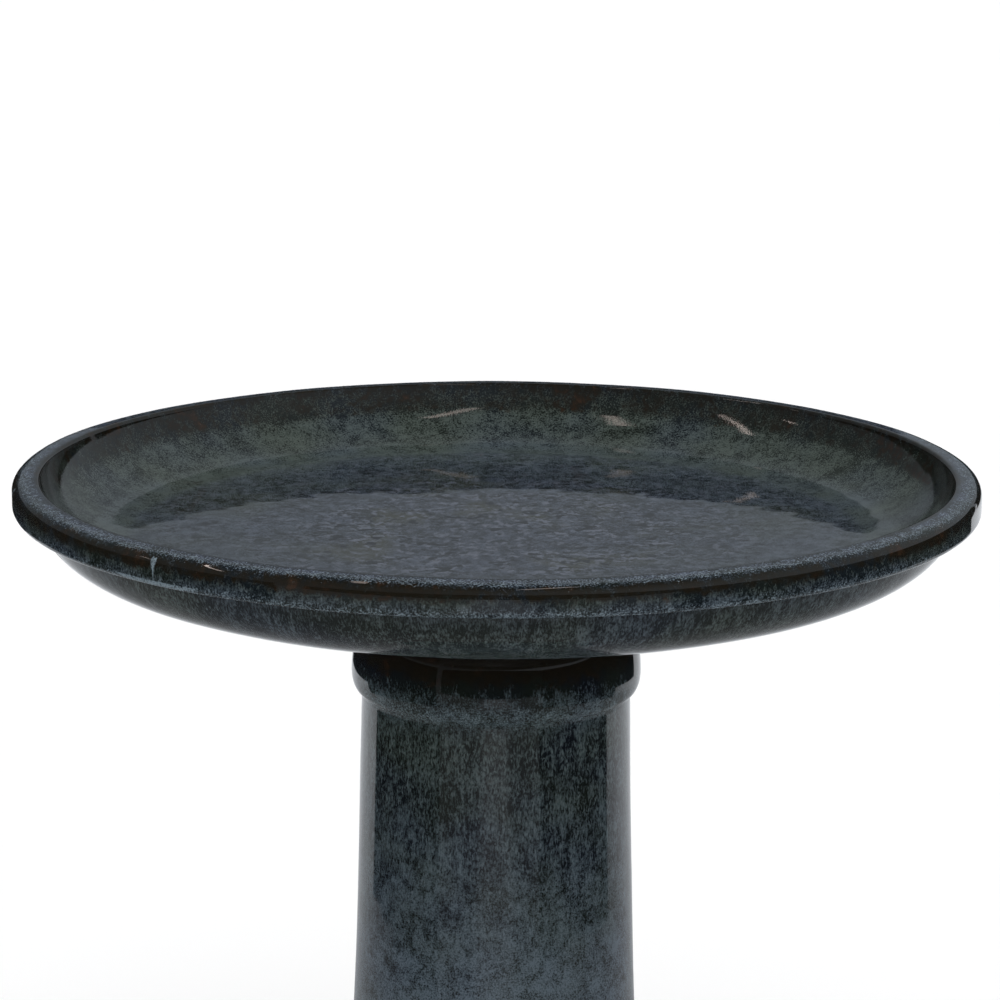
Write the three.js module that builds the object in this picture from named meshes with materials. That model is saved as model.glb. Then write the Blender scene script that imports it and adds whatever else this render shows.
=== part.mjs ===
// A glazed stoneware bird bath: a wide shallow bowl that lifts off a hollow flared pedestal.
// Millimetres, +Z up, origin at the centre of the foot on the ground.
import * as THREE from "three";
import { mergeVertices } from "three/addons/utils/BufferGeometryUtils.js";

// Driving dimensions
const HEIGHT = 610; // ground to the top of the bowl's lip
const BOWL_RADIUS = 260;
const BOWL_HEIGHT = 62; // lip to the underside, without the locating ring
const LIP_WIDTH = 15;
const BAND_HEIGHT = 17; // the upright band round the bowl's edge
const BASIN_DEPTH = 36;
const BASIN_FLOOR_RADIUS = 197; // where the basin's wall runs out into its floor
const BASIN_FLOOR_DISH = 3; // how much deeper the floor's centre is than its edge
const COLLAR_RADIUS = 79; // the rolled bead under the bowl
const NECK_RADIUS = 66; // the seat above the bead
const COLUMN_TOP_RADIUS = 73.3;
const FOOT_RADIUS = 132;
const FOOT_HEIGHT = 32; // the rounded foot under the flare
const MOUTH_RADIUS = 52; // the pedestal's open top
const WALL = 13; // the pedestal's wall
const LOCATING_RING_DEPTH = 14; // how far the bowl's ring reaches into the mouth
const LOCATING_RING_WIDTH = 11;
const MOUTH_CLEARANCE = 4;
const PAD_COUNT = 4;
const PAD_RADIUS = 4.5;
const PAD_HEIGHT = 2.4;
const PAD_GAP = 0.2; // the adhesive film under a pad, and the air above it

// Facets round the axis, and along each curve of a profile
const BOWL_SEGMENTS = 64;
const PEDESTAL_SEGMENTS = 48;
const PAD_SEGMENTS = 16;
const LONG_CURVE = 20; // a profile curve over this length gets LONG_STEPS, and a shorter one SHORT_STEPS
const LONG_STEPS = 8;
const SHORT_STEPS = 3;
const SHORTEST_CURVE = 0.01; // a line shorter than this only joins two curves that already meet

// Heights that follow from them
const UNDERSIDE = HEIGHT - BOWL_HEIGHT;
const SEAT = UNDERSIDE - PAD_HEIGHT - 2 * PAD_GAP; // the pedestal's flat top

const glazeBowl = new THREE.MeshStandardMaterial({ color: 0x353f46, roughness: 0.12, metalness: 0 });
const glazePedestal = new THREE.MeshStandardMaterial({ color: 0x323b47, roughness: 0.15, metalness: 0 });
const clearRubber = new THREE.MeshStandardMaterial({ color: 0xb9bdb8, roughness: 0.4, metalness: 0 });

// The points of an outline: a line's two ends, and evenly spaced steps along a curve.
function outlinePoints(outline) {
  const points = [outline.curves[0].getPoint(0)];
  const curves = outline.curves.filter((curve) => curve.getLength() > SHORTEST_CURVE);
  for (const curve of curves) {
    const curveSteps = curve.getLength() > LONG_CURVE ? LONG_STEPS : SHORT_STEPS;
    const steps = curve.isLineCurve ? 1 : curveSteps;
    points.push(...curve.getPoints(steps).slice(1));
  }
  return points;
}

// Turns a half profile, x as radius and y as height, about the Z axis. The outlines run from the top
// outwards and down, and LatheGeometry faces outwards when they run the other way, so they are reversed.
function turned(name, outline, segments, material) {
  const lathe = new THREE.LatheGeometry(outlinePoints(outline).reverse(), segments);
  lathe.rotateX(Math.PI / 2);
  lathe.deleteAttribute("normal");
  lathe.deleteAttribute("uv");
  const geometry = mergeVertices(lathe); // closes the seam where the turn meets itself
  geometry.computeVertexNormals();
  const mesh = new THREE.Mesh(geometry, material);
  mesh.name = name;
  return mesh;
}

// A quarter turn of the profile round a centre, from one angle to another in degrees, led in by a line.
function corner(outline, x, y, radius, from, to) {
  const start = THREE.MathUtils.degToRad(from);
  outline.lineTo(x + radius * Math.cos(start), y + radius * Math.sin(start));
  outline.absarc(x, y, radius, start, THREE.MathUtils.degToRad(to), to < from);
}

// The basin's dished floor and its wall, which sweeps up to the inner edge of the lip.
function basinOutline(outline, wallTop) {
  const floor = HEIGHT - BASIN_DEPTH;
  const floorEdge = floor + BASIN_FLOOR_DISH;
  const sweepOut = { x: 213, y: floorEdge + 0.5 };
  const sweepUp = { x: 238, y: HEIGHT - 27 };
  outline.moveTo(0, floor);
  outline.quadraticCurveTo(BASIN_FLOOR_RADIUS / 2, floor, BASIN_FLOOR_RADIUS, floorEdge);
  outline.bezierCurveTo(sweepOut.x, sweepOut.y, sweepUp.x, sweepUp.y, BOWL_RADIUS - LIP_WIDTH, wallTop);
}

// The lip's top, the band, and the undercut behind the band's lower edge.
function lipOutline(outline, innerRound) {
  const outerRound = 6;
  const bandRound = 3;
  const bandBottom = HEIGHT - BAND_HEIGHT;
  const undercut = { x: 246.5, y: bandBottom - 3.5, lead: 2.5 };
  corner(outline, BOWL_RADIUS - LIP_WIDTH + innerRound, HEIGHT - innerRound, innerRound, 180, 90);
  corner(outline, BOWL_RADIUS - outerRound, HEIGHT - outerRound, outerRound, 90, 0);
  corner(outline, BOWL_RADIUS - bandRound, bandBottom + bandRound, bandRound, 0, -90);
  outline.lineTo(undercut.x + undercut.lead, bandBottom);
  outline.quadraticCurveTo(undercut.x, bandBottom, undercut.x, undercut.y);
}

// The ring under the bowl that drops into the pedestal's mouth, and the recess inside it.
function locatingRingOutline(outline) {
  const outer = MOUTH_RADIUS - MOUTH_CLEARANCE;
  const inner = outer - LOCATING_RING_WIDTH;
  const bottom = UNDERSIDE - LOCATING_RING_DEPTH;
  const round = 4;
  const recess = UNDERSIDE + 9;
  const recessRound = 6;
  outline.lineTo(outer, UNDERSIDE);
  corner(outline, outer - round, bottom + round, round, 0, -90);
  corner(outline, inner + round, bottom + round, round, -90, -180);
  corner(outline, inner - recessRound, recess - recessRound, recessRound, 0, 90);
  outline.lineTo(0, recess);
}

// The bowl, from the middle of its floor out over the lip and back to the middle underneath.
function bowl() {
  const innerRound = 2; // where the basin's wall meets the lip
  const flatRadius = 95; // the flat part of the underside
  const underbody = { upper: { x: 239, y: HEIGHT - 54 }, lower: { x: 165, y: UNDERSIDE } };
  const outline = new THREE.Path();
  basinOutline(outline, HEIGHT - innerRound);
  lipOutline(outline, innerRound);
  outline.bezierCurveTo(underbody.upper.x, underbody.upper.y, underbody.lower.x, underbody.lower.y,
    flatRadius, UNDERSIDE);
  locatingRingOutline(outline);
  return turned("bowl", outline, BOWL_SEGMENTS, glazeBowl);
}

// The pedestal, from the seat's inner edge out over the collar, down the flare to the foot, and up inside.
function pedestal() {
  const seatRound = 2.5;
  const bead = { top: 532, widest: 499.5, bottom: 487, foot: 490 }; // heights on the collar
  const mouth = { narrowest: 522, shoulder: 507.5 }; // heights where the bore closes in under the seat
  const flare = { upper: { x: 76.7, y: 310 }, lower: { x: 79, y: 140 }, x: FOOT_RADIUS - 13, y: FOOT_HEIGHT };
  const footRound = { across: FOOT_RADIUS - flare.x, up: FOOT_HEIGHT / 2, tuck: 0.3 }; // tuck in radians
  const standing = { outer: FOOT_RADIUS - 5, inner: FOOT_RADIUS - 21, rise: 4 }; // the flat on the ground

  const outline = new THREE.Path();
  outline.moveTo(MOUTH_RADIUS, mouth.narrowest);
  corner(outline, MOUTH_RADIUS + seatRound, SEAT - seatRound, seatRound, 180, 90);
  corner(outline, NECK_RADIUS - seatRound, SEAT - seatRound, seatRound, 90, 0);
  outline.lineTo(NECK_RADIUS, bead.top);
  outline.absellipse(NECK_RADIUS, bead.widest, COLLAR_RADIUS - NECK_RADIUS, bead.top - bead.widest,
    Math.PI / 2, 0, true);
  outline.quadraticCurveTo(COLLAR_RADIUS, bead.foot, COLUMN_TOP_RADIUS, bead.bottom);
  outline.bezierCurveTo(flare.upper.x, flare.upper.y, flare.lower.x, flare.lower.y, flare.x, flare.y);
  outline.absellipse(flare.x, footRound.up, footRound.across, footRound.up,
    Math.PI / 2, -footRound.tuck, true);
  outline.lineTo(standing.outer, 0);
  outline.lineTo(standing.inner, 0);
  outline.quadraticCurveTo(standing.inner - 3, standing.rise, flare.x - WALL, flare.y);
  outline.bezierCurveTo(flare.lower.x - WALL, flare.lower.y, flare.upper.x - WALL, flare.upper.y,
    COLUMN_TOP_RADIUS - WALL, bead.bottom);
  outline.quadraticCurveTo(COLUMN_TOP_RADIUS - WALL, mouth.shoulder, MOUTH_RADIUS, mouth.narrowest);
  return turned("pedestal", outline, PEDESTAL_SEGMENTS, glazePedestal);
}

// Self-adhesive pads on the seat, which keep the two glazed faces apart.
function seatPads() {
  const circle = (MOUTH_RADIUS + NECK_RADIUS) / 2;
  const edge = 0.8;
  const pads = new THREE.Group();
  for (let i = 0; i < PAD_COUNT; i++) {
    const angle = ((i + 0.5) / PAD_COUNT) * 2 * Math.PI;
    const outline = new THREE.Path();
    outline.moveTo(0, PAD_HEIGHT);
    corner(outline, PAD_RADIUS - edge, PAD_HEIGHT - edge, edge, 90, 0);
    outline.lineTo(PAD_RADIUS, 0);
    outline.lineTo(0, 0);
    const pad = turned(`seat_pad_${i + 1}`, outline, PAD_SEGMENTS, clearRubber);
    pad.position.set(circle * Math.cos(angle), circle * Math.sin(angle), SEAT + PAD_GAP);
    pads.add(pad);
  }
  return pads;
}

const birdBath = new THREE.Group();
birdBath.add(bowl(), pedestal(), seatPads());
export default birdBath;
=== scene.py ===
import math

import bpy
import numpy as np
from mathutils import Matrix, Vector, noise


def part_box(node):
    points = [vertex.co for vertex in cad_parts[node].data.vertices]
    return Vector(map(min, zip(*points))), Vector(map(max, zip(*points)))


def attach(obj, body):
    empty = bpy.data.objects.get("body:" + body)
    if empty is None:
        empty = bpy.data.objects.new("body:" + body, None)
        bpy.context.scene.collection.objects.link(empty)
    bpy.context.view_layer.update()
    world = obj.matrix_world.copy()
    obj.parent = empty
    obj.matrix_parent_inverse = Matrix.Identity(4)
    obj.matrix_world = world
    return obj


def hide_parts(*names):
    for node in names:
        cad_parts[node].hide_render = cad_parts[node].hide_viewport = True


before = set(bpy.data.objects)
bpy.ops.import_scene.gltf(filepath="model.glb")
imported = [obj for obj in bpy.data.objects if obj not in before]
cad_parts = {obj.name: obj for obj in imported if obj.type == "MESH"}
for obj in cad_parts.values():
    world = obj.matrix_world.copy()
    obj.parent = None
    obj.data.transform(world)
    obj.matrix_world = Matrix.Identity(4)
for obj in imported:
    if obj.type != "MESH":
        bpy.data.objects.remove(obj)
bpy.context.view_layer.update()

MM = 0.001
AXIS = 1e-6  # a radius under this is on the axis
CLOSE = 1e-9  # ends of a profile nearer than this meet
SWELL_SIZE = 0.08  # how broad the swell of the glazed surface is
RIPPLE_SIZE = 0.013
SURFACE_SOFTNESS = 0.003  # how gradually swell and ripple change from one zone to the next

BOWL_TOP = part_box("bowl")[1]
RIM = BOWL_TOP.z / MM  # height of the lip
BOWL_RADIUS = BOWL_TOP.x / MM
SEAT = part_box("pedestal")[1].z / MM  # height of the pedestal's flat top
FOOT_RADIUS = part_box("pedestal")[1].x / MM
UNDERSIDE = RIM - 62  # the bowl's flat underside, without its locating ring


# ---------------------------------------------------------------- profiles

def spaced(path, length, step):
    """Points of a path that runs from 0 to 1, about one step apart, its end point included."""
    count = max(1, round(length / step))
    return [path(i / count) for i in range(1, count + 1)]


def bezier(*controls):
    """The path of a Bezier curve of any degree."""
    controls = np.array(controls, float)
    degree = len(controls) - 1
    weights = [math.comb(degree, k) for k in range(degree + 1)]

    def path(t):
        blend = [w * t**k * (1 - t) ** (degree - k) for k, w in enumerate(weights)]
        return np.array(blend) @ controls
    return path


def arc(centre, radii, start, end):
    """The path of an elliptical arc between two angles in degrees."""
    def path(t):
        angle = math.radians(start + (end - start) * t)
        return np.array([centre[0] + radii[0] * math.cos(angle), centre[1] + radii[1] * math.sin(angle)])
    return path


class Profile:
    """Half of a turned shape's section, each of its points in a named zone of the glaze."""

    def __init__(self, start):
        self.points = [np.array(start, float)]
        self.zones = [None]

    def follow(self, zone, path, step, start=0.0, end=1.0):
        """Adds the part of a path from start to end."""
        def part(t):
            return path(start + (end - start) * t)
        samples = np.array([part(i / 20) for i in range(21)])
        length = np.linalg.norm(np.diff(samples, axis=0), axis=1).sum()
        new = spaced(part, length, step)
        self.points += new
        self.zones += [zone] * len(new)

    def line(self, zone, x, y, step):
        self.follow(zone, bezier(self.points[-1], (x, y)), step)

    def finished(self):
        self.zones[0] = self.zones[1]
        return np.array(self.points), self.zones


def bowl_profile():
    """From the middle of the basin's floor, out over the lip, and back to the middle underneath."""
    floor, floor_edge = RIM - 36, RIM - 33
    lip = BOWL_RADIUS - 15
    lip_fall = 0.5  # the lip's outer edge is a little lower than its inner one
    band_bottom = RIM - 17
    wall = bezier((197, floor_edge), (213, floor_edge + 0.5), (238, RIM - 27), (lip, RIM - 2))
    undercut = (246.5, band_bottom - 3.5)
    underbody = bezier(undercut, (239, RIM - 54), (165, UNDERSIDE), (95, UNDERSIDE))
    p = Profile((0, floor))
    basin = bezier((0, floor), (98.5, floor), (197, floor_edge))
    p.follow("floor", basin, 4.0, 0.0, 0.5)
    p.follow("floor_middle", basin, 4.0, 0.5, 0.68)
    p.follow("floor_outer", basin, 4.0, 0.68, 1.0)
    p.follow("fillet", wall, 1.6, 0.0, 0.35)
    p.follow("wall", wall, 1.6, 0.35, 0.78)
    p.follow("wall_top", wall, 1.0, 0.78, 1.0)
    p.follow("lip_inner", arc((lip + 2, RIM - 2), (2, 2), 180, 90), 0.5)
    outer_edge = arc((BOWL_RADIUS - 6, RIM - lip_fall - 6), (6, 6), 90, 0)
    p.line("lip", BOWL_RADIUS - 6, RIM - lip_fall, 1.0)
    p.follow("lip_outer", outer_edge, 0.7, 0.0, 0.35)
    p.follow("edge", outer_edge, 0.7, 0.35, 1.0)
    p.line("band", BOWL_RADIUS, RIM - 9.5, 0.8)
    p.line("band_low", BOWL_RADIUS, band_bottom + 3, 0.8)
    p.follow("bead", arc((BOWL_RADIUS - 3, band_bottom + 3), (3, 3), 0, -90), 0.6)
    p.line("bead", undercut[0] + 2.5, band_bottom, 1.2)
    p.follow("undercut", bezier(p.points[-1], (undercut[0], band_bottom), undercut), 0.8)
    p.follow("underbody", underbody, 2.2)
    ring_outer, ring_inner, ring_bottom = 48, 37, UNDERSIDE - 14
    p.line("flat", ring_outer, UNDERSIDE, 4.0)
    p.line("flat", ring_outer, ring_bottom + 4, 2.0)
    p.follow("bare", arc((ring_outer - 4, ring_bottom + 4), (4, 4), 0, -90), 1.0)
    p.line("bare", ring_inner + 4, ring_bottom, 1.0)
    p.follow("bare", arc((ring_inner + 4, ring_bottom + 4), (4, 4), -90, -180), 1.0)
    p.line("flat", ring_inner, UNDERSIDE + 3, 2.0)
    p.follow("flat", arc((ring_inner - 6, UNDERSIDE + 3), (6, 6), 0, 90), 1.2)
    p.line("flat", 0, UNDERSIDE + 9, 4.0)
    return p.finished()


def pedestal_profile():
    """From the seat's inner edge, out over the collar, down to the foot, and back up inside."""
    mouth, neck, collar, column, wall = 52, 66, 79, 73.3, 13
    bead_top, bead_widest, bead_bottom = 532, 499.5, 487
    flare = (FOOT_RADIUS - 13, 32)
    outside = bezier((column, bead_bottom), (76.7, 310), (79, 140), flare)
    inside = bezier((flare[0] - wall, flare[1]), (79 - wall, 140), (76.7 - wall, 310),
                    (column - wall, bead_bottom))
    mouth_inside = bezier((column - wall, bead_bottom), (column - wall, bead_widest + 8),
                          (mouth, bead_top - 10))
    bead_end = bezier((collar, bead_widest), (collar, bead_bottom + 3), (column, bead_bottom))
    p = Profile((mouth, SEAT - 2.5))
    p.follow("seat_edge", arc((mouth + 2.5, SEAT - 2.5), (2.5, 2.5), 180, 90), 0.6)
    p.line("seat", neck - 2.5, SEAT, 1.2)
    p.follow("seat_edge", arc((neck - 2.5, SEAT - 2.5), (2.5, 2.5), 90, 0), 0.6)
    p.line("neck", neck, bead_top, 1.2)
    bead_arc = arc((neck, bead_widest), (collar - neck, bead_top - bead_widest), 90, 0)
    p.follow("bead_top", bead_arc, 1.2, 0.0, 0.8)
    p.follow("bead", bead_arc, 1.2, 0.8, 1.0)
    p.follow("bead_low", bead_end, 0.8)
    p.follow("column_1", outside, 2.0, 0.0, 0.05)
    p.follow("column_2", outside, 2.0, 0.05, 0.1)
    p.follow("column_3", outside, 2.0, 0.1, 0.16)
    p.follow("column_4", outside, 2.0, 0.16, 0.24)
    p.follow("column", outside, 2.4, 0.24, 0.95)
    p.follow("ankle", outside, 2.0, 0.95, 1.0)
    p.follow("foot", arc((flare[0], 16), (FOOT_RADIUS - flare[0], 16), 90, -17.19), 1.0)
    p.line("foot_edge", FOOT_RADIUS - 5, 0, 1.0)
    p.line("bare", FOOT_RADIUS - 21, 0, 2.0)
    p.follow("bare", bezier((FOOT_RADIUS - 21, 0), (FOOT_RADIUS - 24, 4), (flare[0] - wall, flare[1])), 3.0)
    p.follow("inside", inside, 5.0)
    p.follow("inside", mouth_inside, 2.0)
    p.line("seat_edge", mouth, SEAT - 2.5, 2.0)
    return p.finished()


# ---------------------------------------------------------------- meshes

def surface_normals(points):
    """Outward normals of a profile that runs clockwise round its material."""
    along = np.gradient(points, axis=0)
    normals = np.stack([-along[:, 1], along[:, 0]], axis=1)
    return normals / np.linalg.norm(normals, axis=1, keepdims=True)


def smoothed(values, distance, width):
    """Values along a profile, averaged over about one width of path."""
    gap = (distance[:, None] - distance[None, :]) / width
    weights = np.exp(-gap * gap)
    return (weights / weights.sum(axis=1, keepdims=True)) @ values


def unevenness(place):
    """Noise of the glazed surface at a place: its broad swell, and its finer ripple."""
    place = Vector(place)
    return noise.noise(place / SWELL_SIZE), noise.noise(place / RIPPLE_SIZE + Vector((7, 3, 5)))


def spun(pairs, around, on_axis):
    """Radius and height pairs, turned about the axis: an array for each, with a single row on the axis."""
    return [np.array([[0.0, 0.0, height]]) if single
            else np.column_stack([around * radius, np.full(len(around), height)])
            for (radius, height), single in zip(pairs, on_axis)]


def ring_faces(rings, segments, closed):
    """Faces from each ring to the next, and from the last to the first where the profile is closed."""
    starts = np.cumsum([0] + [len(ring) for ring in rings])

    def corner(ring, k):
        return int(starts[ring]) + (k % segments if len(rings[ring]) > 1 else 0)

    faces = []
    for a in range(len(rings) if closed else len(rings) - 1):
        b = (a + 1) % len(rings)
        for k in range(segments):
            corners = [corner(a, k), corner(b, k), corner(b, k + 1), corner(a, k + 1)]
            faces.append(tuple(dict.fromkeys(corners)))  # a vertex on the axis counts once
    return faces


def add_attribute(mesh, name, values):
    mesh.attributes.new(name, "FLOAT", "POINT").data.foreach_set("value", values.astype(np.float32))


def turned(name, profile, looks, segments, softness):
    """A turned mesh with an uneven surface. looks gives each zone's value for each glaze attribute,
    and softness is how gradually they change from one zone to the next, in metres."""
    points, zones = profile
    points = points * MM
    distance = np.concatenate([[0], np.cumsum(np.linalg.norm(np.diff(points, axis=0), axis=1))])
    normals = surface_normals(points)
    closed = np.linalg.norm(points[0] - points[-1]) < CLOSE
    count = len(points) - 1 if closed else len(points)

    turn = np.arange(segments) * 2 * math.pi / segments
    around = np.stack([np.cos(turn), np.sin(turn)], axis=1)
    on_axis = points[:count, 0] < AXIS
    rings = spun(points[:count], around, on_axis)
    owners = np.repeat(np.arange(count), [len(ring) for ring in rings])
    vertices = np.concatenate(rings)
    directions = np.concatenate(spun(normals[:count], around, on_axis))
    heights = np.array([(looks[zone]["swell"], looks[zone]["ripple"]) for zone in zones]) * MM
    heights = smoothed(heights, distance, SURFACE_SOFTNESS)
    offset = (np.array([unevenness(v) for v in vertices]) * heights[owners]).sum(axis=1)
    vertices = vertices + directions * offset[:, None]

    mesh = bpy.data.meshes.new(name)
    mesh.from_pydata(vertices.tolist(), [], ring_faces(rings, segments, closed))
    mesh.validate()
    mesh.polygons.foreach_set("use_smooth", [True] * len(mesh.polygons))
    add_attribute(mesh, "along", distance[owners])
    for attribute in ATTRIBUTES:
        values = np.array([looks[zone][attribute] for zone in zones], float)
        add_attribute(mesh, attribute, smoothed(values, distance, softness)[owners])
    piece = bpy.data.objects.new(name, mesh)
    bpy.context.scene.collection.objects.link(piece)
    return piece


# ---------------------------------------------------------------- materials

class Nodes:
    """Short calls for building one material's node tree."""

    def __init__(self, name, ring=0.0):
        self.ring = ring  # the radius that runs() wraps its pattern round
        self.material = bpy.data.materials.new(name)
        self.material.use_nodes = True
        self.tree = self.material.node_tree
        self.shader = self.tree.nodes["Principled BSDF"]
        self.place = self.tree.nodes.new("ShaderNodeTexCoord").outputs["Object"]

    def set(self, socket, value):
        """Links an output to an input, or gives the input a plain number or colour."""
        if isinstance(value, bpy.types.NodeSocket):
            self.tree.links.new(value, socket)
        else:
            socket.default_value = value

    def math(self, operation, a, b=0.0, c=0.0, clamp=False):
        node = self.tree.nodes.new("ShaderNodeMath")
        node.operation = operation
        node.use_clamp = clamp
        self.set(node.inputs[0], a)
        self.set(node.inputs[1], b)
        self.set(node.inputs[2], c)
        return node.outputs[0]

    def total(self, *weighted):
        """The sum of several outputs, each with its weight."""
        result = 0.0
        for output, weight in weighted:
            share = output if weight == 1.0 else self.math("MULTIPLY", output, weight)
            result = share if result == 0.0 else self.math("ADD", result, share)
        return result

    def dot(self, vector, along):
        node = self.tree.nodes.new("ShaderNodeVectorMath")
        node.operation = "DOT_PRODUCT"
        self.set(node.inputs[0], vector)
        node.inputs[1].default_value = along
        return node.outputs["Value"]

    def value(self, attribute):
        node = self.tree.nodes.new("ShaderNodeAttribute")
        node.attribute_name = attribute
        return node.outputs["Fac"]

    def noise(self, place, size, detail=2.0, roughness=0.5, distortion=0.0):
        """Noise from about 0.2 to 0.8, with features of one size in metres."""
        node = self.tree.nodes.new("ShaderNodeTexNoise")
        self.set(node.inputs["Vector"], place)
        node.inputs["Scale"].default_value = 1.0 / size
        node.inputs["Detail"].default_value = detail
        node.inputs["Roughness"].default_value = roughness
        node.inputs["Distortion"].default_value = distortion
        return node.outputs["Fac"]

    def step(self, value, low, high):
        """0 below low, 1 above high, smooth between them. low and high may be outputs."""
        node = self.tree.nodes.new("ShaderNodeMapRange")
        node.interpolation_type = "SMOOTHSTEP"
        self.set(node.inputs["Value"], value)
        self.set(node.inputs["From Min"], low)
        self.set(node.inputs["From Max"], high)
        return node.outputs["Result"]

    def mix(self, factor, a, b):
        """A colour between a and b."""
        node = self.tree.nodes.new("ShaderNodeMix")
        node.data_type = "RGBA"
        self.set(node.inputs["Factor"], factor)
        self.set(node.inputs[6], a)
        self.set(node.inputs[7], b)
        return node.outputs[2]

    def blend(self, factor, a, b):
        """A number between a and b."""
        node = self.tree.nodes.new("ShaderNodeMix")
        self.set(node.inputs["Factor"], factor)
        self.set(node.inputs["A"], a)
        self.set(node.inputs["B"], b)
        return node.outputs[0]

    def radius(self, x, y):
        return self.math("SQRT", self.math("ADD", self.math("MULTIPLY", x, x), self.math("MULTIPLY", y, y)))

    def runs(self, stretch):
        """A place that follows the section instead of the radius, so that noise in it runs down the glaze."""
        x, y, _ = self.separate(self.place)
        radius = self.radius(x, y)
        node = self.tree.nodes.new("ShaderNodeCombineXYZ")
        self.set(node.inputs["X"], self.math("MULTIPLY", self.math("DIVIDE", x, radius), self.ring))
        self.set(node.inputs["Y"], self.math("MULTIPLY", self.math("DIVIDE", y, radius), self.ring))
        self.set(node.inputs["Z"], self.math("DIVIDE", self.value("along"), stretch))
        return node.outputs[0]

    def separate(self, vector):
        node = self.tree.nodes.new("ShaderNodeSeparateXYZ")
        self.set(node.inputs[0], vector)
        return node.outputs["X"], node.outputs["Y"], node.outputs["Z"]

    def bump(self, height, strength, distance, under=None):
        node = self.tree.nodes.new("ShaderNodeBump")
        self.set(node.inputs["Height"], height)
        node.inputs["Strength"].default_value = strength
        node.inputs["Distance"].default_value = distance
        if under is not None:
            self.set(node.inputs["Normal"], under)
        return node.outputs[0]


def drips(n, azimuths):
    """Where pale glaze has run over the lip's edge and down the band, in narrowing drips."""
    drop = n.step(n.separate(n.place)[2], (RIM - 14) * MM, (RIM - 3) * MM)
    mask = 0.0
    for azimuth in azimuths:
        out = Vector((math.cos(math.radians(azimuth)), math.sin(math.radians(azimuth)), 0))
        sideways = n.math("ABSOLUTE", n.dot(n.place, (-out.y, out.x, 0)))
        edge = n.math("MULTIPLY", drop, 0.0034)
        near = n.math("SUBTRACT", 1.0, n.step(sideways, n.math("MULTIPLY", edge, 0.2), edge))
        outside = n.step(n.dot(n.place, tuple(out)), (BOWL_RADIUS - 2.5) * MM, (BOWL_RADIUS - 1) * MM)
        mask = n.math("MAXIMUM", mask, n.math("MULTIPLY", near, outside))
    return mask


def level_marks(n, colour, tones):
    """What shows where the glaze lies level: olive pools, drifts of pale flecks, and dark pits."""
    drift = n.noise(n.place, 0.028, 4.0, 0.65, 2.5)
    pool = n.step(n.noise(n.place, 0.05, 3.0, 0.5, 0.5), 0.56, 0.72)
    fleck = n.step(n.noise(n.place, 0.005, 2.0, 0.7, 0.6), 0.5, 0.57)
    fleck = n.math("MULTIPLY", fleck, n.blend(n.step(drift, 0.42, 0.6), 0.15, 1.0))
    pit = n.step(n.noise(n.place, 0.0075, 1.0, 0.5, 0.3), 0.6, 0.68)
    level = n.value("flecks")
    colour = n.mix(n.math("MULTIPLY", pool, n.math("MULTIPLY", level, 0.45)), colour, tones["olive"])
    colour = n.mix(n.math("MULTIPLY", fleck, level), colour, tones["fleck"])
    return n.mix(n.math("MULTIPLY", pit, level), colour, tones["dark"])


def glaze(name, tones, ring, contrast, drip_azimuths=()):
    """Reactive stoneware glaze: dark glass, clouded by fine crystals, that breaks brown where it's thin."""
    n = Nodes(name, ring)
    grain = n.noise(n.place, 0.0009, 2.0, 0.6)
    mottle = n.noise(n.place, 0.005, 3.0, 0.6, 0.6)
    blotch = n.noise(n.place, 0.011, 3.0, 0.65, 0.5)
    cloud = n.noise(n.place, 0.03, 3.0, 0.55, 0.4)
    tint = n.noise(n.place, 0.05, 2.0)

    fine = n.blend(n.value("streaky"), grain, n.noise(n.runs(2.5), 0.001, 2.0, 0.6, 0.5))
    spots = n.blend(n.value("streaky"), blotch, n.noise(n.runs(4.0), 0.006, 2.0, 0.6, 0.4))
    uneven = n.total((fine, 3.8), (mottle, 1.4), (spots, 1.8), (cloud, 0.6), (-3.8, 1.0))
    crystals = n.math("MULTIPLY_ADD", uneven, contrast, n.value("crystals"), clamp=True)

    dark = n.mix(n.step(tint, 0.35, 0.65), tones["dark"], tones["dark_green"])
    green = n.step(n.total((n.value("green"), 1.0), (tint, 1.0)), 0.55, 1.45)
    crystal = n.mix(green, tones["crystal_blue"], tones["crystal_green"])
    crystal = n.mix(n.value("violet"), crystal, tones["crystal_violet"])
    colour = n.mix(crystals, dark, crystal)
    colour = level_marks(n, colour, tones)
    thin = n.step(n.total((n.value("thin"), 1.0), (mottle, 1.4), (cloud, 1.0)), 1.5, 2.0)
    rust = n.step(n.total((cloud, 0.5), (mottle, 0.5)), 0.56, 0.72)
    colour = n.mix(thin, colour, n.mix(rust, tones["brown"], tones["rust"]))
    pooled = n.value("pooled")
    if drip_azimuths:
        pooled = n.math("MAXIMUM", pooled, drips(n, drip_azimuths))
    pooled = n.step(n.total((pooled, 1.0), (fine, 2.4), (mottle, 0.8)), 2.1, 2.8)
    colour = n.mix(pooled, colour, tones["milky"])
    bare = n.step(n.total((n.value("bare"), 1.0), (mottle, 0.5)), 0.7, 0.8)
    colour = n.mix(bare, colour, n.mix(grain, tones["clay_dark"], tones["clay"]))
    n.set(n.shader.inputs["Base Color"], colour)

    gloss = n.blend(n.step(grain, 0.3, 0.7), 0.02, 0.05)
    n.set(n.shader.inputs["Roughness"], n.blend(bare, gloss, 0.75))
    n.shader.inputs["IOR"].default_value = 1.52

    texture = n.total((n.noise(n.place, 0.014, 2.0), 0.4), (grain, 0.2), (mottle, 0.4))
    normal = n.bump(n.math("MULTIPLY", texture, n.value("texture")), 1.0, 0.0001)
    clay_grain = n.math("MULTIPLY", n.noise(n.place, 0.0006, 2.0), bare)
    normal = n.bump(clay_grain, 1.0, 0.0002, normal)
    n.set(n.shader.inputs["Normal"], normal)
    return n.material


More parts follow.
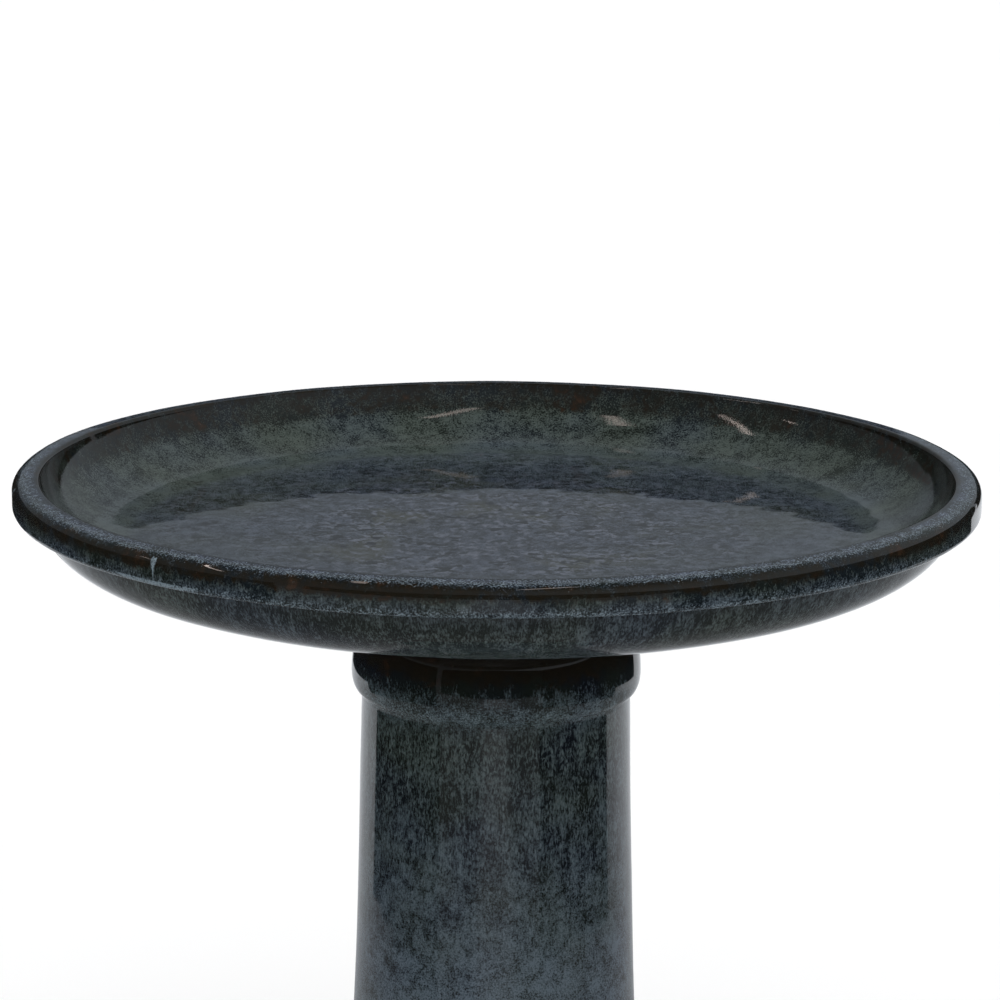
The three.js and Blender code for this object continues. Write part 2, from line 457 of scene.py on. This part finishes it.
def rubber(name):
    """Clear soft plastic, slightly clouded and dusty."""
    n = Nodes(name)
    dust = n.noise(n.place, 0.0008, 3.0)
    n.set(n.shader.inputs["Base Color"], n.mix(dust, (0.62, 0.64, 0.6, 1), (0.42, 0.44, 0.42, 1)))
    n.set(n.shader.inputs["Roughness"], n.blend(dust, 0.22, 0.5))
    n.shader.inputs["Transmission Weight"].default_value = 0.5
    n.shader.inputs["IOR"].default_value = 1.47
    n.set(n.shader.inputs["Normal"], n.bump(n.noise(n.place, 0.002), 1.0, 0.00005))
    return n.material


# ---------------------------------------------------------------- the pieces

# How the glaze lies in each zone: how many crystals it has, how far they run in streaks, how green or violet
# they are, how strongly the marks of level glaze show, how thin it breaks on an edge, how it pools milky,
# how rough its surface is, and where the clay is left bare. Every zone also has a swell and a ripple, which
# are the surface's unevenness in millimetres.
ATTRIBUTES = ("crystals", "streaky", "green", "violet", "flecks", "thin", "pooled", "texture", "bare")


def zone(crystals=0.5, streaky=0.0, green=0.3, violet=0.0, flecks=0.0, thin=0.0, pooled=0.0,
         texture=0.15, bare=0.0, swell=0.4, ripple=0.03):
    return dict(crystals=crystals, streaky=streaky, green=green, violet=violet, flecks=flecks, thin=thin,
                pooled=pooled, texture=texture, bare=bare, swell=swell, ripple=ripple)


def floor_zone(**looks):
    """A zone of the basin's level floor, where the glaze lies smooth."""
    return zone(texture=0.015, swell=0.2, ripple=0.06, **looks)


def true(**looks):
    """A zone that stays true because it touches something."""
    return zone(swell=0.0, ripple=0.0, **looks)


BOWL_LOOKS = {
    "floor": floor_zone(crystals=0.4, green=0.1, violet=0.3, flecks=1.0),
    "floor_middle": floor_zone(crystals=0.45, green=0.2, violet=0.2, flecks=0.6),
    "floor_outer": floor_zone(crystals=0.5, green=0.35, violet=0.1, flecks=0.3),
    "fillet": zone(crystals=0.8, green=0.6, texture=0.03, swell=0.2, ripple=0.03),
    "wall": zone(crystals=0.54, green=0.7, texture=0.7, swell=0.3, ripple=0.03),
    "wall_top": zone(crystals=0.18, green=0.9, thin=0.52, texture=0.7),
    "lip_inner": zone(crystals=0.1, thin=0.75),
    "lip": zone(crystals=0.42, green=0.0, violet=0.7, pooled=0.62, ripple=0.06),
    "lip_outer": zone(crystals=0.3, green=0.0, violet=0.3, thin=0.3, pooled=0.75, ripple=0.06),
    "edge": zone(crystals=0.0, thin=0.75, texture=0.1, ripple=0.04),
    "band": zone(crystals=0.15, green=1.0, thin=0.55, streaky=0.8, texture=0.1),
    "band_low": zone(crystals=0.25, pooled=0.35, streaky=0.4),
    "bead": zone(crystals=0.45, pooled=0.7),
    "undercut": zone(crystals=0.2, streaky=0.6),
    "underbody": zone(crystals=0.25, green=0.5, streaky=0.9),
    "flat": true(crystals=0.3),
    "bare": true(bare=1.0),
}

PEDESTAL_LOOKS = {
    "seat_edge": true(crystals=0.1, thin=0.7),
    "seat": true(crystals=0.3, thin=0.4),
    "neck": zone(crystals=-0.6, thin=0.9, streaky=0.8),
    "bead_top": zone(crystals=-0.9, green=0.5, streaky=0.9, thin=0.9, texture=0.05),
    "bead": zone(crystals=0.1, streaky=0.8, texture=0.1),
    "bead_low": zone(crystals=0.45, pooled=0.4),
    "column_1": zone(crystals=0.24, green=0.65, streaky=1.0),
    "column_2": zone(crystals=0.31, green=0.6, violet=0.05, streaky=0.9),
    "column_3": zone(crystals=0.38, green=0.5, violet=0.1, streaky=0.7),
    "column_4": zone(crystals=0.48, green=0.4, violet=0.15, streaky=0.4),
    "column": zone(crystals=0.61, green=0.3, violet=0.2, streaky=0.15),
    "ankle": zone(crystals=0.7, pooled=0.35, streaky=0.4),
    "foot": zone(crystals=0.5, thin=0.3),
    "foot_edge": true(crystals=0.2, thin=0.7),
    "inside": zone(crystals=0.1, thin=0.6, texture=0.6),
    "bare": true(bare=1.0),
}

BOWL_TONES = {
    "dark": (0.006, 0.009, 0.012, 1), "dark_green": (0.008, 0.011, 0.009, 1),
    "crystal_blue": (0.062, 0.08, 0.1, 1), "crystal_green": (0.062, 0.078, 0.069, 1),
    "crystal_violet": (0.06, 0.07, 0.125, 1), "fleck": (0.1, 0.113, 0.145, 1),
    "brown": (0.009, 0.0075, 0.005, 1), "olive": (0.04, 0.042, 0.022, 1), "rust": (0.03, 0.016, 0.009, 1),
    "milky": (0.16, 0.205, 0.235, 1), "clay": (0.42, 0.33, 0.24, 1), "clay_dark": (0.27, 0.2, 0.14, 1),
}
PEDESTAL_TONES = dict(BOWL_TONES, dark=(0.005, 0.007, 0.011, 1), crystal_blue=(0.082, 0.112, 0.134, 1),
                      crystal_green=(0.076, 0.1, 0.096, 1), crystal_violet=(0.088, 0.1, 0.15, 1))
DRIPS = (229.7, 12, 80, 135, 190)  # azimuths of the pale drips on the band


def dress(piece, body, node, material):
    """Puts a piece in the frame in place of a CAD node."""
    piece.data.materials.append(material)
    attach(piece, body)
    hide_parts(node)


def bowl():
    piece = turned("glazed_bowl", bowl_profile(), BOWL_LOOKS, 420, 0.0025)
    dress(piece, "bowl", "bowl", glaze("bowl_glaze", BOWL_TONES, BOWL_RADIUS * MM, 1.0, DRIPS))


def pedestal():
    piece = turned("glazed_pedestal", pedestal_profile(), PEDESTAL_LOOKS, 256, 0.007)
    dress(piece, "pedestal", "pedestal", glaze("pedestal_glaze", PEDESTAL_TONES, 0.08, 1.0))


def pads():
    material = rubber("pad_rubber")
    for name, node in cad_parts.items():
        if name.startswith("seat_pad"):
            node.data.materials.clear()
            node.data.materials.append(material)


# ---------------------------------------------------------------- the studio

FLOOR_SIZE = (90, 90)
CEILING = 2.6
CAMERA_DISTANCE = 2.0
CAMERA_RISE = 0.4322  # above the lip


def plane(name, centre, size, towards=None):
    """A flat sheet in the studio, level, or upright and facing a point."""
    bpy.ops.mesh.primitive_plane_add(size=1.0, location=centre)
    sheet = bpy.context.object
    sheet.name = name
    sheet.data.transform(Matrix.Diagonal((size[0], size[1], 1, 1)))
    if towards is not None:
        sheet.rotation_euler = (Vector(towards) - Vector(centre)).to_track_quat("Z", "Y").to_euler()
    return sheet


def lit_paper(name, colour, light):
    material = bpy.data.materials.new(name)
    material.use_nodes = True
    shader = material.node_tree.nodes["Principled BSDF"]
    shader.inputs["Base Color"].default_value = (colour, colour, colour, 1)
    shader.inputs["Roughness"].default_value = 0.9
    shader.inputs["Specular IOR Level"].default_value = 0.1
    shader.inputs["Emission Color"].default_value = (1, 1, 1, 1)
    shader.inputs["Emission Strength"].default_value = light
    return material


def only_mirrored(thing):
    """Hides a thing from everything but the glaze's reflections."""
    for ray in ("camera", "diffuse", "transmission", "volume_scatter", "shadow"):
        setattr(thing, "visible_" + ray, False)


def curved_flag(name, material, start, end, bottom=0.0, radius=1.25, top=0.8):
    """A black cloth hung in an arc round the object, between two azimuths from the camera's side."""
    steps = 24
    vertices = []
    for i in range(steps + 1):
        azimuth = math.radians(start + (end - start) * i / steps)
        x, y = radius * math.sin(azimuth), -radius * math.cos(azimuth)
        vertices += [(x, y, bottom), (x, y, top)]
    mesh = bpy.data.meshes.new(name)
    mesh.from_pydata(vertices, [], [(2 * i, 2 * i + 2, 2 * i + 3, 2 * i + 1) for i in range(steps)])
    mesh.materials.append(material)
    flag = bpy.data.objects.new(name, mesh)
    bpy.context.scene.collection.objects.link(flag)
    only_mirrored(flag)


def mirrored_floor():
    """A glowing sheet, seen only in the glaze's reflections, with the floor's reflection painted on it:
    painted shade in front, a painted shadow under the bowl, and brighter behind.
    """
    n = Nodes("painted_floor_reflection")
    x, y, _ = n.separate(n.place)
    behind = n.step(y, -0.3, 1.0)
    radius = n.radius(x, y)
    # painted shadow: the glow is weaker near the bowl and pedestal
    glow_with_painted_shadow = n.blend(n.step(radius, 0.4, 2.0), 0.3, 1.0)
    # painted shade: the glow is dimmer beside the bowl on the camera's side, beyond about a metre
    beside = n.math("MULTIPLY", n.step(n.math("ABSOLUTE", x), 0.2, 0.5), n.math("SUBTRACT", 1.0, behind))
    fading = n.math("MULTIPLY", n.step(radius, 0.9, 1.3), beside)
    glow_with_painted_shadow = n.math("MULTIPLY", glow_with_painted_shadow, n.math("MULTIPLY_ADD", fading, -0.6, 1.0))
    # painted shade: the reflected floor is darker in front than behind
    tone = n.mix(behind, (0.47, 0.48, 0.5, 1), (0.87, 0.9, 0.94, 1))
    light = n.tree.nodes.new("ShaderNodeEmission")
    n.set(light.inputs["Color"], tone)
    n.set(light.inputs["Strength"], glow_with_painted_shadow)
    n.tree.links.new(light.outputs[0], n.tree.nodes["Material Output"].inputs["Surface"])
    return n.material


def studio():
    floor = plane("studio_floor", (0, 0, -0.0005), FLOOR_SIZE)
    floor.data.materials.append(lit_paper("studio_paper", 0.8, 0.15))
    # a glowing sheet with a painted reflection of the floor, hidden from all but the glaze's reflections
    mirrored = plane("mirrored_floor", (0, 0, -0.0002), FLOOR_SIZE)
    mirrored.data.materials.append(mirrored_floor())
    only_mirrored(mirrored)
    black = lit_paper("studio_flag", 0.01, 0.0)
    curved_flag("flag_left", black, -120, -46)
    curved_flag("flag_left_rear", black, -160, -120, 0.2)
    curved_flag("flag_right", black, 36, 106)
    curved_flag("flag_right_rear", black, 106, 138, 0.2)
    curved_flag("flag_behind", black, 140, 220, 0.45, top=0.75)
    front = plane("flag_front", (0, -2.7, 0.65), (5.0, 1.3), (0, 0, 0.65))
    front.data.materials.append(black)
    only_mirrored(front)


def background(tree, colour):
    node = tree.nodes.new("ShaderNodeBackground")
    if isinstance(colour, bpy.types.NodeSocket):
        tree.links.new(colour, node.inputs["Color"])
    else:
        node.inputs["Color"].default_value = colour
    return node.outputs[0]


def either(tree, factor, a, b):
    node = tree.nodes.new("ShaderNodeMixShader")
    tree.links.new(factor, node.inputs[0])
    tree.links.new(a, node.inputs[1])
    tree.links.new(b, node.inputs[2])
    return node.outputs[0]


def sky():
    """Soft light all round. The glaze mirrors a grey room with a dark ceiling, and the camera sees white."""
    world = bpy.data.worlds.new("studio")
    bpy.context.scene.world = world
    world.use_nodes = True
    tree = world.node_tree
    tree.nodes.clear()
    place = tree.nodes.new("ShaderNodeTexCoord")
    split = tree.nodes.new("ShaderNodeSeparateXYZ")
    tree.links.new(place.outputs["Generated"], split.inputs[0])
    ramp = tree.nodes.new("ShaderNodeValToRGB")
    stops = [(0.0, (0.165, 0.18, 0.2, 1)), (0.6, (0.15, 0.163, 0.17, 1)), (0.84, (0.1, 0.105, 0.105, 1)),
             (0.95, (0.03, 0.03, 0.03, 1))]
    ramp.color_ramp.elements[0].position, ramp.color_ramp.elements[1].position = stops[0][0], stops[-1][0]
    for position, _ in stops[1:-1]:
        ramp.color_ramp.elements.new(position)
    for element, (_, colour) in zip(ramp.color_ramp.elements, stops):
        element.color = colour
    tree.links.new(split.outputs["Z"], ramp.inputs[0])
    ray = tree.nodes.new("ShaderNodeLightPath")
    soft = background(tree, (0.42, 0.43, 0.45, 1))
    mirrored = background(tree, ramp.outputs[0])
    sideways = tree.nodes.new("ShaderNodeMapRange")
    sideways.interpolation_type = "SMOOTHSTEP"
    tree.links.new(split.outputs["X"], sideways.inputs["Value"])
    for socket, value in (("From Min", -0.6), ("From Max", 1.0), ("To Min", 0.7), ("To Max", 2.1)):
        sideways.inputs[socket].default_value = value
    tree.links.new(sideways.outputs["Result"], mirrored.node.inputs["Strength"])
    lit = either(tree, ray.outputs["Is Glossy Ray"], soft, mirrored)
    seen = either(tree, ray.outputs["Is Camera Ray"], lit, background(tree, (1, 1, 1, 1)))
    output = tree.nodes.new("ShaderNodeOutputWorld")
    tree.links.new(seen, output.inputs[0])


def strip_lamp(name, start, end, width, radiance):
    """A warm strip under the ceiling from one point to another, which only shows as a glint in the glaze."""
    along = Vector(end) - Vector(start)
    light = bpy.data.lights.new(name, "AREA")
    light.shape = "RECTANGLE"
    light.size, light.size_y = along.length, width
    light.energy = radiance * math.pi * along.length * width
    light.color = (1.0, 0.85, 0.78)
    lamp = bpy.data.objects.new(name, light)
    middle = (Vector(start) + Vector(end)) / 2
    lamp.location = (middle.x, middle.y, CEILING)
    lamp.rotation_euler = (0, 0, math.atan2(along.y, along.x))
    bpy.context.scene.collection.objects.link(lamp)
    only_mirrored(lamp)


def lights():
    sun = bpy.data.lights.new("key", "SUN")
    sun.energy = 2.4
    sun.angle = math.radians(50)
    sun.color = (1.0, 0.985, 0.96)
    key = bpy.data.objects.new("key", sun)
    key.rotation_euler = Vector((0.15, -0.9, 1.6)).to_track_quat("Z", "Y").to_euler()
    key.visible_glossy = False
    bpy.context.scene.collection.objects.link(key)
    strip_lamp("strip_1", (0.34, -0.12), (0.17, -1.0), 0.07, 3.5)
    strip_lamp("strip_2", (-0.53, 0.3), (-0.72, -0.42), 0.08, 3)
    strip_lamp("strip_3", (-1.36, 0.56), (-2.39, -0.7), 0.04, 10)
    strip_lamp("strip_4", (-3.83, 0.3), (-4.1, 0.0), 0.06, 12)


def camera():
    """A long lens a little above the bowl, looking down on it."""
    lens = bpy.data.cameras.new("camera")
    lens.sensor_width = 36
    lens.lens = 136.5
    lens.clip_end = 100
    view = bpy.data.objects.new("camera", lens)
    pitch, yaw, roll = math.radians(-12.66), math.radians(-0.045), math.radians(0.35)
    upright = Matrix.Rotation(yaw, 4, "Z") @ Matrix.Rotation(math.pi / 2 + pitch, 4, "X")
    turn = upright @ Matrix.Rotation(roll, 4, "Z")
    view.matrix_world = Matrix.Translation((0, -CAMERA_DISTANCE, RIM * MM + CAMERA_RISE)) @ turn
    bpy.context.scene.collection.objects.link(view)
    bpy.context.scene.camera = view


bpy.context.scene.view_settings.view_transform = "Standard"
camera()
bowl()
pedestal()
pads()
studio()
sky()
lights()
